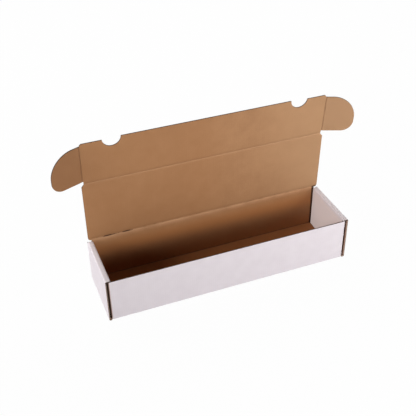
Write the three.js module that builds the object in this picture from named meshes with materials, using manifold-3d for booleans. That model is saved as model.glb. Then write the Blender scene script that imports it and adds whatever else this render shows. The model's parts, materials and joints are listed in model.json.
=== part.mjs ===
// Card storage box, die-cut from one sheet of corrugated board and folded up without glue.
// Sizes are millimetres. The origin is the middle of the underside, +X runs along the box,
// +Y points to the back wall that carries the lid, and +Z is up. The lid stands open.

import * as THREE from 'three';
import { mergeVertices } from 'three/addons/utils/BufferGeometryUtils.js';
import Module from 'manifold-3d';

const wasm = await Module();
wasm.setup();

// Driving sizes of the folded box
const boxLength = 385.6; // over both end walls
const boxWidth = 101.2; // over the front and the back wall
const endHeight = 72.8; // to the top of the rolled-over ends
const board = 1.6; // thickness of the board
const foldInside = 0.4; // inside radius of a fold that stays folded

// Play between boards
const sideGap = 0.3; // boards that lie beside each other
const earPlay = 1.4; // what the slit at a front corner is wider than the board
const dustFlapPlay = 0.4; // from a dust flap to the inner end wall
const dustFlapHeadroom = 0.8; // from a dust flap up to the rolled-over strip
const lidRise = 0.6; // from the rolled-over strips up to the closed lid
const frontGap = 0.4; // from the front wall to the closed front flap

// Dust flaps, which turn in from the front and the back wall
const dustFlapMidGap = 9; // left open between the two that meet in one end
const dustFlapLift = 0.8; // from the base up to a dust flap
const dustFlapCorner = 9; // rounding of their free corners

// Locking tabs of the inner end walls and their slots in the base
const tabWidth = 24;
const tabTaper = 1.5; // what each side of a tab draws in towards its tip
const tabsPerEnd = 2;

// Lid, front flap and ears
const lidEndSetback = 1.6; // from the end of the box in to the end of the lid
const lidFrontRelief = 4.4; // height of the slanted relief at the lid's front corners
const flapEndSetback = 3.6; // from the end of the lid in to the foot of the front flap
const flapGroundGap = 4.1; // from the table up to the closed front flap
const flapCorner = 3.8; // chamfer of the front flap's free corners
const notchRadius = 13.5; // half-round thumb notches
const notchInset = 46; // from the fold of an ear in to the middle of a notch
const earReach = 46.8; // from its fold to its tip
const earFoot = 4.4; // from the front flap's crease up to an ear
const earDrop = 5.2; // from the front flap's free edge down to an ear
const earOuterCornerShare = 0.78; // corner radii of an ear, of its reach
const earInnerCornerShare = 0.38;

// Creases that move, where the board is pressed thin
const pressedShare = 0.6; // of the board's thickness
const creaseBevel = 1.2; // over which the board thins down to a crease
const creaseGap = 0.35; // from the pressed web to the panels that turn on it

// The open pose, in degrees
const lidLean = 2.2; // lid, forward of upright
const flapLean = 3.8; // front flap, further forward than the lid
const earTurn = 19; // ears, folded in from flat

// Rounding of curves, in segments per arc
const foldSegments = 8;
const outlineSegments = 32;
const creaseSides = 16;

const overrun = 5; // how far cutting bodies reach past what they cut

// Faces and heights that follow from the sizes above
const halfLength = boxLength / 2;
const halfWidth = boxWidth / 2;
const foldOutside = foldInside + board;
const earSlot = board + earPlay;
const dustFlapOuter = halfLength - board - earSlot;
const dustFlapInner = dustFlapOuter - board;
const innerEndOuter = dustFlapInner - dustFlapPlay;
const innerEndInner = innerEndOuter - board;
const wallHalf = dustFlapOuter - foldOutside; // flat part of the front and back walls
const wallHeight = endHeight - board - dustFlapHeadroom; // front wall and dust flaps
const insideHalfWidth = halfWidth - board - sideGap;
const pressed = board * pressedShare;
const creaseEdge = pressed / 2 + creaseGap; // from a moving crease's axis to a panel
const hingeY = halfWidth - board / 2;
const hingeZ = endHeight + lidRise + board / 2;
const lidDepth = hingeY + halfWidth + frontGap + board / 2;
const lidHalf = halfLength - lidEndSetback;
const flapFootHalf = lidHalf - flapEndSetback;
const flapHeight = hingeZ - flapGroundGap;
const earAxis = dustFlapOuter + sideGap + board / 2;
const earTop = flapHeight - earDrop;
const dustFlapReach = halfWidth - foldOutside - dustFlapMidGap / 2;

// Colours of the three papers that show
const whiteLiner = { color: '#e3dbdf', roughness: 0.78 };
const kraftLiner = { color: '#a87c52', roughness: 0.88 };
const pressedKraft = { color: '#8a6240', roughness: 0.92 };

// A profile drawn in u and v is extruded along w. Each frame says where u, v and w point.
const unitX = new THREE.Vector3(1, 0, 0);
const unitY = new THREE.Vector3(0, 1, 0);
const unitZ = new THREE.Vector3(0, 0, 1);
const alongX = new THREE.Matrix4().makeBasis(unitY, unitZ, unitX);
const alongZ = new THREE.Matrix4();
const alongMinusY = new THREE.Matrix4().makeBasis(unitX, unitZ, unitY.clone().negate());

function extrude(shape, from, to, frame, curveSegments = foldSegments / 2) {
  const options = { depth: to - from, bevelEnabled: false, curveSegments };
  const geometry = new THREE.ExtrudeGeometry(shape, options);
  geometry.translate(0, 0, from);
  return geometry.applyMatrix4(frame);
}

// Extrudes a profile drawn in x and z from one y to a larger one.
function extrudeY(shape, fromY, toY, curveSegments) {
  return extrude(shape, -toY, -fromY, alongMinusY, curveSegments);
}

function toSolid(geometry) {
  const bare = geometry.clone();
  bare.deleteAttribute('normal');
  bare.deleteAttribute('uv');
  const merged = mergeVertices(bare);
  return new wasm.Manifold(new wasm.Mesh({
    numProp: 3,
    vertProperties: new Float32Array(merged.attributes.position.array),
    triVerts: new Uint32Array(merged.index.array),
  }));
}

function toGeometry(solid) {
  const mesh = solid.getMesh();
  const geometry = new THREE.BufferGeometry();
  geometry.setAttribute('position', new THREE.BufferAttribute(mesh.vertProperties, 3));
  geometry.setIndex(new THREE.BufferAttribute(mesh.triVerts, 1));
  const flat = geometry.toNonIndexed();
  flat.computeVertexNormals();
  return flat;
}

function intersection(...geometries) {
  return toGeometry(geometries.map(toSolid).reduce((whole, solid) => whole.intersect(solid)));
}

function union(...geometries) {
  return toGeometry(geometries.map(toSolid).reduce((whole, solid) => whole.add(solid)));
}

function difference(geometry, ...cuts) {
  const start = toSolid(geometry);
  return toGeometry(cuts.map(toSolid).reduce((whole, solid) => whole.subtract(solid), start));
}

function piece(name, geometry, paper) {
  const mesh = new THREE.Mesh(geometry, new THREE.MeshStandardMaterial({ ...paper, metalness: 0 }));
  mesh.name = name;
  return mesh;
}

function rectangle(u0, v0, u1, v1) {
  const shape = new THREE.Shape();
  shape.moveTo(u0, v0);
  shape.lineTo(u1, v0);
  shape.lineTo(u1, v1);
  shape.lineTo(u0, v1);
  shape.closePath();
  return shape;
}

// Board that lies at base level, folds up at an outer face and rises to a height.
// A creased top thins down on both sides to the pressed web of a moving crease.
function risingProfile(face, outward, height, creasedTop = false) {
  const centre = face - outward * foldOutside;
  const inner = face - outward * board;
  const level = outward > 0 ? 0 : Math.PI;
  const down = level - outward * Math.PI / 2;
  const turnsRight = outward < 0;
  const thinning = outward * (board - pressed) / 2;
  const shoulder = creasedTop ? height - creaseBevel : height;
  const shape = new THREE.Shape();
  shape.moveTo(centre, 0);
  shape.absarc(centre, foldOutside, foldOutside, down, level, turnsRight);
  shape.lineTo(face, shoulder);
  if (creasedTop) {
    shape.lineTo(face - thinning, height);
    shape.lineTo(inner + thinning, height);
  }
  shape.lineTo(inner, shoulder);
  shape.absarc(centre, foldOutside, foldInside, level, down, !turnsRight);
  shape.closePath();
  return shape;
}

// Quarter turn of board round a vertical fold, from a long wall into its dust flap.
function cornerFold(sideX, sideY) {
  const x = sideX * wallHalf;
  const y = sideY * (halfWidth - foldOutside);
  const endward = sideX > 0 ? 0 : Math.PI;
  const outward = endward + sideX * sideY * Math.PI / 2;
  const turnsRight = sideX * sideY < 0;
  const shape = new THREE.Shape();
  shape.moveTo(x + sideX * foldOutside, y);
  shape.absarc(x, y, foldOutside, endward, outward, turnsRight);
  shape.absarc(x, y, foldInside, outward, endward, !turnsRight);
  shape.closePath();
  return extrude(shape, board + dustFlapLift, wallHeight, alongZ);
}

// Base

function lockingTabCentre(index) {
  const pitch = 2 * insideHalfWidth / tabsPerEnd;
  return (index + 1 / 2) * pitch - insideHalfWidth;
}

function baseOutline() {
  const bodyX = wallHalf;
  const bodyY = halfWidth - foldOutside;
  const endX = halfLength - foldOutside;
  const reliefX = dustFlapOuter + sideGap;
  const reliefY = bodyY - sideGap;
  const shape = new THREE.Shape();
  shape.moveTo(-bodyX, -bodyY);
  shape.lineTo(bodyX, -bodyY);
  shape.lineTo(bodyX, -reliefY);
  shape.lineTo(reliefX, -reliefY);
  shape.lineTo(reliefX, -halfWidth);
  shape.lineTo(endX, -halfWidth);
  shape.lineTo(endX, halfWidth);
  shape.lineTo(reliefX, halfWidth);
  shape.lineTo(reliefX, reliefY);
  shape.lineTo(bodyX, reliefY);
  shape.lineTo(bodyX, bodyY);
  shape.lineTo(-bodyX, bodyY);
  shape.lineTo(-bodyX, reliefY);
  shape.lineTo(-reliefX, reliefY);
  shape.lineTo(-reliefX, halfWidth);
  shape.lineTo(-endX, halfWidth);
  shape.lineTo(-endX, -halfWidth);
  shape.lineTo(-reliefX, -halfWidth);
  shape.lineTo(-reliefX, -reliefY);
  shape.lineTo(-bodyX, -reliefY);
  shape.closePath();
  return shape;
}

function basePanel() {
  const half = tabWidth / 2 + sideGap;
  const slots = [];
  for (const side of [-1, 1]) {
    for (let index = 0; index < tabsPerEnd; index += 1) {
      const y = lockingTabCentre(index);
      const near = side * (innerEndInner - sideGap);
      const far = side * (innerEndOuter + sideGap);
      slots.push(extrude(rectangle(near, y - half, far, y + half), -overrun, board + overrun, alongZ));
    }
  }
  return difference(extrude(baseOutline(), 0, board, alongZ), ...slots);
}

// Front and back walls, each with the folds to the base and to its dust flaps

function longWall(sideY, height, creasedTop) {
  const profile = risingProfile(sideY * halfWidth, sideY, height, creasedTop);
  const wall = extrude(profile, -wallHalf, wallHalf, alongX);
  return union(wall, cornerFold(-1, sideY), cornerFold(1, sideY));
}

function dustFlap(sideX, sideY) {
  const low = board + dustFlapLift;
  const root = sideY * (halfWidth - foldOutside);
  const round = dustFlapCorner;
  const roundStart = root - sideY * (dustFlapReach - round);
  const tipward = sideY > 0 ? Math.PI : 0;
  const quarter = sideY * Math.PI / 2;
  const turnsRight = sideY < 0;
  const shape = new THREE.Shape();
  shape.moveTo(root, low);
  shape.lineTo(root, wallHeight);
  shape.absarc(roundStart, wallHeight - round, round, tipward - quarter, tipward, turnsRight);
  shape.absarc(roundStart, low + round, round, tipward, tipward + quarter, turnsRight);
  shape.closePath();
  const faces = [sideX * dustFlapOuter, sideX * dustFlapInner];
  return extrude(shape, Math.min(...faces), Math.max(...faces), alongX);
}

// Rolled-over ends

function outerEndWall(side) {
  const profile = risingProfile(side * halfLength, side, endHeight - foldOutside);
  return extrudeY(profile, -halfWidth, halfWidth);
}

function rolledStrip(side) {
  const spring = endHeight - foldOutside;
  const outerX = side * (halfLength - foldOutside);
  const innerX = side * (innerEndInner + foldOutside);
  const outward = side > 0 ? 0 : Math.PI;
  const inward = Math.PI - outward;
  const up = Math.PI / 2;
  const turnsLeft = side < 0;
  const shape = new THREE.Shape();
  shape.moveTo(side * halfLength, spring);
  shape.absarc(outerX, spring, foldOutside, outward, up, turnsLeft);
  shape.absarc(innerX, spring, foldOutside, up, inward, turnsLeft);
  shape.absarc(innerX, spring, foldInside, inward, up, !turnsLeft);
  shape.absarc(outerX, spring, foldInside, up, outward, !turnsLeft);
  shape.closePath();
  return extrudeY(shape, -halfWidth, insideHalfWidth);
}

function innerEndWall(side) {
  const half = tabWidth / 2;
  const top = endHeight - foldOutside;
  const shape = new THREE.Shape();
  shape.moveTo(insideHalfWidth, board);
  shape.lineTo(insideHalfWidth, top);
  shape.lineTo(-insideHalfWidth, top);
  shape.lineTo(-insideHalfWidth, board);
  for (let index = 0; index < tabsPerEnd; index += 1) {
    const y = lockingTabCentre(index);
    shape.lineTo(y - half, board);
    shape.lineTo(y - half + tabTaper, 0);
    shape.lineTo(y + half - tabTaper, 0);
    shape.lineTo(y + half, board);
  }
  shape.closePath();
  const faces = [side * innerEndInner, side * innerEndOuter];
  return extrude(shape, Math.min(...faces), Math.max(...faces), alongX);
}

// Panels that turn are drawn upright: x along the box, z up the panel from its crease,
// and the inside of the box towards -y.

// Section of a panel between two places, thinned where it ends in a moving crease.
function thinnedShape(from, to, creasedStart, creasedEnd) {
  const thick = board / 2;
  const thin = pressed / 2;
  const shape = new THREE.Shape();
  shape.moveTo(from, creasedStart ? -thin : -thick);
  if (creasedStart) {
    shape.lineTo(from + creaseBevel, -thick);
  }
  if (creasedEnd) {
    shape.lineTo(to - creaseBevel, -thick);
  }
  shape.lineTo(to, creasedEnd ? -thin : -thick);
  shape.lineTo(to, creasedEnd ? thin : thick);
  if (creasedEnd) {
    shape.lineTo(to - creaseBevel, thick);
  }
  if (creasedStart) {
    shape.lineTo(from + creaseBevel, thick);
  }
  shape.lineTo(from, creasedStart ? thin : thick);
  shape.closePath();
  return shape;
}

// Height of a panel runs along z and its thickness along y, over a stretch of x.
const uprightAlongX = new THREE.Matrix4().makeBasis(unitZ, unitY.clone().negate(), unitX);

function thinnedInHeight(from, to, creasedEnd, halfSpan) {
  return extrude(thinnedShape(from, to, true, creasedEnd), -halfSpan, halfSpan, uprightAlongX);
}

function cutOutline(shape) {
  return extrudeY(shape, -overrun, overrun, outlineSegments / 2);
}

function lidOutline() {
  const reliefHalf = flapFootHalf;
  const heel = lidHalf - wallHalf;
  const shape = new THREE.Shape();
  shape.moveTo(wallHalf, -overrun);
  shape.lineTo(wallHalf, creaseEdge);
  shape.absarc(wallHalf, creaseEdge + heel, heel, -Math.PI / 2, 0, false);
  shape.lineTo(lidHalf, lidDepth - creaseEdge - lidFrontRelief);
  shape.lineTo(reliefHalf, lidDepth - creaseEdge);
  shape.lineTo(reliefHalf, lidDepth + overrun);
  shape.lineTo(-reliefHalf, lidDepth + overrun);
  shape.lineTo(-reliefHalf, lidDepth - creaseEdge);
  shape.lineTo(-lidHalf, lidDepth - creaseEdge - lidFrontRelief);
  shape.absarc(-wallHalf, creaseEdge + heel, heel, -Math.PI, -Math.PI / 2, false);
  shape.lineTo(-wallHalf, -overrun);
  shape.closePath();
  return shape;
}

function lidPanel() {
  const section = thinnedInHeight(creaseEdge, lidDepth - creaseEdge, true, lidHalf + overrun);
  return intersection(section, cutOutline(lidOutline()));
}

function flapOutline() {
  const end = earAxis - creaseEdge;
  const notchX = earAxis - notchInset;
  const shape = new THREE.Shape();
  shape.moveTo(flapFootHalf, -overrun);
  shape.lineTo(flapFootHalf, earFoot);
  shape.lineTo(end + overrun, earFoot);
  shape.lineTo(end + overrun, earTop);
  shape.lineTo(end, flapHeight - flapCorner);
  shape.lineTo(end - flapCorner, flapHeight);
  shape.absarc(notchX, flapHeight, notchRadius, 0, -Math.PI, true);
  shape.absarc(-notchX, flapHeight, notchRadius, 0, -Math.PI, true);
  shape.lineTo(-end + flapCorner, flapHeight);
  shape.lineTo(-end, flapHeight - flapCorner);
  shape.lineTo(-end - overrun, earTop);
  shape.lineTo(-end - overrun, earFoot);
  shape.lineTo(-flapFootHalf, earFoot);
  shape.lineTo(-flapFootHalf, -overrun);
  shape.closePath();
  return shape;
}

function frontFlap() {
  const end = earAxis - creaseEdge;
  const acrossHeight = thinnedInHeight(creaseEdge, flapHeight + overrun, false, lidHalf + overrun);
  const acrossLength = extrude(thinnedShape(-end, end, true, true), -overrun, flapHeight + overrun, alongZ);
  return intersection(acrossHeight, acrossLength, cutOutline(flapOutline()));
}

// A large corner towards the free edge lets an ear swing into its slit, a smaller one
// rounds the side towards the crease.
function earOutline(side) {
  const tall = earTop - earFoot;
  const round = Math.min(earReach, tall / (earOuterCornerShare + earInnerCornerShare));
  const outer = round * earOuterCornerShare;
  const inner = round * earInnerCornerShare;
  const outward = side > 0 ? 0 : Math.PI;
  const quarter = side * Math.PI / 2;
  const turnsRight = side > 0;
  const shape = new THREE.Shape();
  shape.moveTo(0, earFoot);
  shape.lineTo(0, earTop);
  shape.absarc(side * (earReach - outer), earTop - outer, outer, outward + quarter, outward, turnsRight);
  shape.absarc(side * (earReach - inner), earFoot + inner, inner, outward, outward - quarter, turnsRight);
  shape.closePath();
  return shape;
}

function ear(side) {
  const near = side * creaseEdge;
  const far = side * (earReach + overrun);
  const section = side > 0 ? thinnedShape(near, far, true, false) : thinnedShape(far, near, false, true);
  const body = extrude(section, 0, flapHeight, alongZ);
  return intersection(body, cutOutline(earOutline(side)));
}

// Pressed web of a moving crease, which runs along x or up z.
function creaseAlongX(half) {
  const web = new THREE.CylinderGeometry(pressed / 2, pressed / 2, 2 * half, creaseSides);
  return web.rotateZ(Math.PI / 2);
}

function creaseAlongZ(from, to) {
  const web = new THREE.CylinderGeometry(pressed / 2, pressed / 2, to - from, creaseSides);
  web.rotateX(Math.PI / 2);
  return web.translate(0, 0, (from + to) / 2);
}

// Assembly

const sides = { left: -1, right: 1 };

function addBox(group) {
  group.add(piece('base_panel', basePanel(), kraftLiner));
  group.add(piece('front_wall', longWall(-1, wallHeight, false), whiteLiner));
  group.add(piece('back_wall', longWall(1, hingeZ - creaseEdge, true), kraftLiner));
  for (const [name, side] of Object.entries(sides)) {
    group.add(piece(`front_dust_flap_${name}`, dustFlap(side, -1), kraftLiner));
    group.add(piece(`back_dust_flap_${name}`, dustFlap(side, 1), kraftLiner));
    group.add(piece(`outer_end_wall_${name}`, outerEndWall(side), whiteLiner));
    group.add(piece(`rolled_strip_${name}`, rolledStrip(side), whiteLiner));
    group.add(piece(`inner_end_wall_${name}`, innerEndWall(side), whiteLiner));
  }
  const lidCrease = piece('lid_crease', creaseAlongX(wallHalf), pressedKraft);
  lidCrease.position.set(0, hingeY, hingeZ);
  group.add(lidCrease);
}

function addEar(flapGroup, name, side) {
  const web = piece(`ear_crease_${name}`, creaseAlongZ(earFoot, earTop), pressedKraft);
  web.position.x = side * earAxis;
  flapGroup.add(web);
  const turning = new THREE.Group();
  turning.position.x = side * earAxis;
  turning.rotation.z = -side * THREE.MathUtils.degToRad(earTurn);
  turning.add(piece(`ear_${name}`, ear(side), kraftLiner));
  flapGroup.add(turning);
}

function addLid(group) {
  const lidGroup = new THREE.Group();
  lidGroup.position.set(0, hingeY, hingeZ);
  lidGroup.rotation.x = THREE.MathUtils.degToRad(lidLean);
  lidGroup.add(piece('lid_panel', lidPanel(), kraftLiner));
  const flapCrease = piece('flap_crease', creaseAlongX(flapFootHalf), pressedKraft);
  flapCrease.position.z = lidDepth;
  lidGroup.add(flapCrease);

  const flapGroup = new THREE.Group();
  flapGroup.position.z = lidDepth;
  flapGroup.rotation.x = THREE.MathUtils.degToRad(flapLean);
  flapGroup.add(piece('front_flap', frontFlap(), kraftLiner));
  for (const [name, side] of Object.entries(sides)) {
    addEar(flapGroup, name, side);
  }
  lidGroup.add(flapGroup);
  group.add(lidGroup);
}

const group = new THREE.Group();
addBox(group);
addLid(group);

export default group;
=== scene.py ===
# %% [markdown]
# # A card storage box, folded from one sheet of board
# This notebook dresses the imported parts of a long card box, which stands open with its
# lid up. The real box is one die-cut sheet of corrugated board, white outside and brown
# inside, folded without glue. So it is made here as it is made in the factory: a fluted
# sheet is built up from three papers, each panel is cut from it flat, on the table, and
# then the creases are folded one after the other. Every panel takes the place of one
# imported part.

import json
import math
from contextlib import contextmanager

import bmesh
import bpy
from mathutils import Matrix, Vector


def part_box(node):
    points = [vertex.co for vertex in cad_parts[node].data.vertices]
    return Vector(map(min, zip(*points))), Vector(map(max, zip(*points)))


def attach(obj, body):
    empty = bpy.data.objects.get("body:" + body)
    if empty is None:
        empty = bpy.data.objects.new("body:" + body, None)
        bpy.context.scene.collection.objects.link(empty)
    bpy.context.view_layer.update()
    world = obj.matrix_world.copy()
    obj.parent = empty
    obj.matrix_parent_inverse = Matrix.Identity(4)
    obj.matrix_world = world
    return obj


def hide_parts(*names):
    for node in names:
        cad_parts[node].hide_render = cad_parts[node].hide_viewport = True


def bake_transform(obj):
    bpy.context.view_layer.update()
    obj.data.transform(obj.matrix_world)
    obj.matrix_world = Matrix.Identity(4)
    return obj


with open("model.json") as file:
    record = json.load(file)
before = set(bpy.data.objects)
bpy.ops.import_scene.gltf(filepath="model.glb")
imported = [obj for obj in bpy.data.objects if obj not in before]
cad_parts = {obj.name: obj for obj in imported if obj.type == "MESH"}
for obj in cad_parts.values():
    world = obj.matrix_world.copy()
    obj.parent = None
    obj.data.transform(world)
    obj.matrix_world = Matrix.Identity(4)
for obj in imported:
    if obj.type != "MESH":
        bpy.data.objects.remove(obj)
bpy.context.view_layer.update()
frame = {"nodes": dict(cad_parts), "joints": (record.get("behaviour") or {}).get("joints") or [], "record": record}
nodes = frame["nodes"]
joints = {joint["name"]: joint for joint in frame["joints"]}
MM = 0.001

# %% [markdown]
# ## The camera
# The place of the camera was worked out from the box's straight edges in the
# photograph. It stands left of the middle, looks down by about 35 degrees and is turned
# to the right by about 21. The focal length is given in pixels of the picture and turned
# into a lens for a 36 mm sensor, so that the view doesn't depend on the render's size.

# %% Set up the camera
PICTURE_WIDTH = 416
FOCAL_PIXELS = 730.01
SENSOR_MM = 36
camera_place = Vector((-333.476, -815.049, 740.576)) * MM
camera_turn = math.radians(21.115)
camera_pitch = math.radians(-35.4425)
camera_roll = math.radians(-0.8515)

camera = bpy.data.objects.new("camera", bpy.data.cameras.new("camera"))
camera.data.sensor_width = SENSOR_MM
camera.data.lens = FOCAL_PIXELS * SENSOR_MM / PICTURE_WIDTH
camera.matrix_world = (
    Matrix.Translation(camera_place)
    @ Matrix.Rotation(-camera_turn, 4, "Z")
    @ Matrix.Rotation(math.pi / 2 + camera_pitch, 4, "X")
    @ Matrix.Rotation(camera_roll, 4, "Z")
)
bpy.context.scene.collection.objects.link(camera)
bpy.context.scene.camera = camera
bpy.context.scene.view_settings.view_transform = "Standard"
print("lens", round(camera.data.lens, 2), "mm")

# %% [markdown]
# ## The sizes of the box
# The box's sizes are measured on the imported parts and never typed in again, so the
# looks can't drift away from the frame. `far` gives how far a part reaches in some
# direction from a point, and `near` where it begins, also on panels that lean.

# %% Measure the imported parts
def far(node, direction, start=Vector()):
    return max((v.co - start).dot(direction) for v in nodes[node].data.vertices)


def near(node, direction, start=Vector()):
    return min((v.co - start).dot(direction) for v in nodes[node].data.vertices)


right, back, up = Vector((1, 0, 0)), Vector((0, 1, 0)), Vector((0, 0, 1))
half_length = far("outer_end_wall_right", right)
half_width = far("outer_end_wall_right", back)
end_height = far("rolled_strip_right", up)
wall_height = far("front_wall", up)
wall_half = far("lid_crease", right)
dust_flap_outer = far("front_dust_flap_right", right)
dust_flap_low = near("front_dust_flap_right", up)
dust_flap_tip = far("front_dust_flap_right", back)
inner_end_outer = far("inner_end_wall_right", right)
inner_end_inner = near("inner_end_wall_right", right)
inner_half_width = far("inner_end_wall_right", back)
BOARD = inner_end_outer - inner_end_inner
MIDDLE = BOARD / 2
FOLD_OUTSIDE = half_width + near("front_dust_flap_right", back)
print("board", round(BOARD / MM, 2), "mm, outer fold radius", round(FOLD_OUTSIDE / MM, 2), "mm")

# %% Measure the lid, the flap and the ears
CREASE_MARGIN = 1.2 * MM
lid_hinge, flap_hinge, ear_hinge, left_ear_hinge = (
    Vector(joints[name]["pos_m"])
    for name in ("lid_hinge", "flap_hinge", "ear_hinge_right", "ear_hinge_left"))
lid_up = (flap_hinge - lid_hinge).normalized()
flap_up = Vector(joints["ear_hinge_left"]["axis"]).normalized()
lid_depth = (flap_hinge - lid_hinge).length
lid_lean = math.atan2(-lid_up.y, lid_up.z)
flap_lean = math.atan2(-flap_up.y, flap_up.z) - lid_lean
ear_turn = math.radians(-joints["ear_hinge_right"]["range_deg"][0])
ear_axis = ear_hinge.x
ear_out = Matrix.Rotation(-ear_turn, 3, flap_up) @ right
lid_half = far("lid_panel", right)
flap_foot_half = far("flap_crease", right)
flap_height = far("front_flap", flap_up, flap_hinge)
ear_foot = near("ear_crease_right", flap_up, flap_hinge)
ear_top = far("ear_crease_right", flap_up, flap_hinge)
ear_reach = far("ear_right", ear_out, ear_hinge)
crease_edge = near("lid_panel", lid_up, lid_hinge)
CREASE_REACH = crease_edge + CREASE_MARGIN
print("lid", round(lid_depth / MM, 2), "flap", round(flap_height / MM, 2),
      "ear", round(ear_reach / MM, 2), "mm; leans", round(math.degrees(lid_lean), 2),
      round(math.degrees(flap_lean), 2), round(math.degrees(ear_turn), 2))

# %% [markdown]
# ## Where the creases lie on the flat sheet
# The middle of the sheet is the floor of the box. To the front and the back lie the long
# walls, and beyond the back wall the lid and the front flap with its ears. To the left
# and the right lie the ends, which roll over. A square fold takes up as much board as
# its middle layer is long, a quarter circle of 1.2 mm radius, and that adds up to the
# place of every crease, counted from the middle of the sheet.

# %% Work out the crease lines
FOLD_MIDDLE = FOLD_OUTSIDE - MIDDLE
FOLD_LENGTH = FOLD_MIDDLE * math.pi / 2
fold_start_y = half_width - FOLD_OUTSIDE
fold_start_x = half_length - FOLD_OUTSIDE
rise = fold_start_y + FOLD_LENGTH - FOLD_OUTSIDE
lid_line = rise + lid_hinge.z
flap_line = lid_line + lid_depth
ear_low, ear_high = flap_line + ear_foot, flap_line + ear_top
corner_low = rise + dust_flap_low
corner_high = rise + wall_height
corner_end = wall_half + FOLD_LENGTH
end_top = fold_start_x + FOLD_LENGTH + end_height - 2 * FOLD_OUTSIDE
strip_end = end_top + FOLD_LENGTH + fold_start_x - (inner_end_inner + FOLD_OUTSIDE)
inner_start = strip_end + FOLD_LENGTH
inner_foot = inner_start + end_height - FOLD_OUTSIDE - BOARD
print("the blank:", round(2 * (inner_foot + BOARD) / MM, 1), "by",
      round((rise + wall_height + flap_line + flap_height) / MM, 1), "mm")

# %% [markdown]
# ## Arithmetic on sockets
# A paper's look is a sum of small effects: clouds, fibres, the stripes of the flutes. A
# small class that wraps a socket lets plain expressions write such sums as Math nodes,
# and one method makes every other kind of node.

# %% Wires and finishes
SHADER = "Principled BSDF"


class Wire:
    """A socket that can be added, multiplied and so on, which adds Math nodes."""

    def __init__(self, finish, socket):
        self.finish = finish
        self.socket = socket

    def __add__(self, other):
        return self.finish.maths("ADD", self, other)

    def __sub__(self, other):
        return self.finish.maths("SUBTRACT", self, other)

    def __mul__(self, other):
        return self.finish.maths("MULTIPLY", self, other)

    __radd__ = __add__


class Finish:
    """The nodes of a material or of the world."""

    def __init__(self, owner, shader):
        owner.use_nodes = True
        self.tree = owner.node_tree
        self.shader = self.tree.nodes[shader]

    def node(self, kind, settings=None, inputs=None, output=0):
        made = self.tree.nodes.new(kind)
        for name, value in (settings or {}).items():
            setattr(made, name, value)
        for name, value in (inputs or {}).items():
            self.feed(made.inputs[name], value)
        return Wire(self, made.outputs[output])

    def feed(self, socket, value):
        if isinstance(value, Wire):
            self.tree.links.new(value.socket, socket)
        else:
            socket.default_value = value

    def maths(self, operation, first, second=0.0):
        return self.node("ShaderNodeMath", {"operation": operation}, {0: first, 1: second})

    def shader_feed(self, **inputs):
        for name, value in inputs.items():
            self.feed(self.shader.inputs[name.replace("_", " ").title()], value)


# %% [markdown]
# ## Papers
# Three papers make the board: a white liner outside, a brown kraft liner inside and a
# thin brown fluting between them. Paper isn't flat colour. Its fibres lie in clouds, the
# pulp has darker and paler shreds, which lie along the direction in which the paper ran
# through the machine, and a liner shows the flutes that are glued behind it as faint
# stripes. All of that is read from `flat`, the place that each point had on the flat
# sheet, so that the stripes run on round every fold and from one panel to the next. The
# places of the creases are known there too, so the cracks that a fold leaves in the
# coat, and the painted light and painted shade beside the creases and in the corners,
# are put in place on the sheet, as stains over the paper. `out` and `away` are distances
# from the middle of the sheet: to either end, and to the front or the back.

# %% Patterns that every paper has
FLUTE_PITCH = 3.3 * MM
DEEP_SHADE = (0.050, 0.020, 0.010)


class Paper(Finish):
    """A material whose colour is built up in stains, placed on the flat sheet."""

    def __init__(self, name):
        self.material = bpy.data.materials.new(name)
        super().__init__(self.material, SHADER)
        self.flat = self.node("ShaderNodeAttribute", {"attribute_name": "flat"}, output="Vector")
        split = self.node("ShaderNodeSeparateXYZ", {}, {0: self.flat}).socket.node
        self.x, self.y = (Wire(self, split.outputs[name]) for name in "XY")
        self.out, self.away = (self.maths("ABSOLUTE", wire) for wire in (self.x, self.y))
        self.colour = None

    def noise(self, size, squeeze=(1, 1, 1), detail=2.0, roughness=0.5):
        """Clouds of that size, longer in a direction whose squeeze is under 1."""
        settings = {"operation": "MULTIPLY"}
        place = self.node("ShaderNodeVectorMath", settings, {0: self.flat, 1: squeeze})
        inputs = {"Vector": place, "Scale": 1 / size, "Detail": detail, "Roughness": roughness}
        return self.node("ShaderNodeTexNoise", {}, inputs, "Fac")

    def stripes(self):
        return self.maths("COSINE", self.x * (2 * math.pi / FLUTE_PITCH))

    def between(self, value, low, high, to_low=0.0, to_high=1.0):
        """A soft step from to_low, up to the value low, to to_high from high on."""
        inputs = {"Value": value, "From Min": low, "From Max": high,
                  "To Min": to_low, "To Max": to_high}
        return self.node("ShaderNodeMapRange", {"interpolation_type": "SMOOTHSTEP"}, inputs)

    def beyond(self, coordinate, place, soft=MM):
        """0 up to a place on the sheet, and 1 beyond its soft edge."""
        return self.between(coordinate, place, place + soft)

    def before(self, coordinate, place, soft=MM):
        """1 up to a place on the sheet, and 0 beyond its soft edge."""
        return self.between(coordinate, place, place + soft, 1.0, 0.0)

    def line(self, coordinate, place, reach):
        """1 on a line across the sheet, and 0 at a distance of reach from it."""
        return self.before(self.maths("ABSOLUTE", coordinate - place), 0.0, reach)

    def mix(self, factor, first, second):
        pair = [hue if isinstance(hue, Wire) else (*hue, 1) for hue in (first, second)]
        inputs = {0: factor, 6: pair[0], 7: pair[1]}
        return self.node("ShaderNodeMix", {"data_type": "RGBA"}, inputs, 2)

    def stain(self, mask, hue, strength=1.0):
        """Lays another colour over the paper's own, wherever the mask isn't 0."""
        self.colour = self.mix(mask * strength, self.colour, hue)

    def complete(self, height, depth, roughness, specular):
        """Connects the colour, and the relief and the gloss, to the shader."""
        inputs = {"Height": height, "Distance": depth, "Strength": 1.0}
        relief = self.node("ShaderNodeBump", {}, inputs, "Normal")
        self.shader_feed(base_color=self.colour, roughness=roughness, normal=relief)
        self.feed(self.shader.inputs["Specular IOR Level"], specular)
        return self.material
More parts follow.
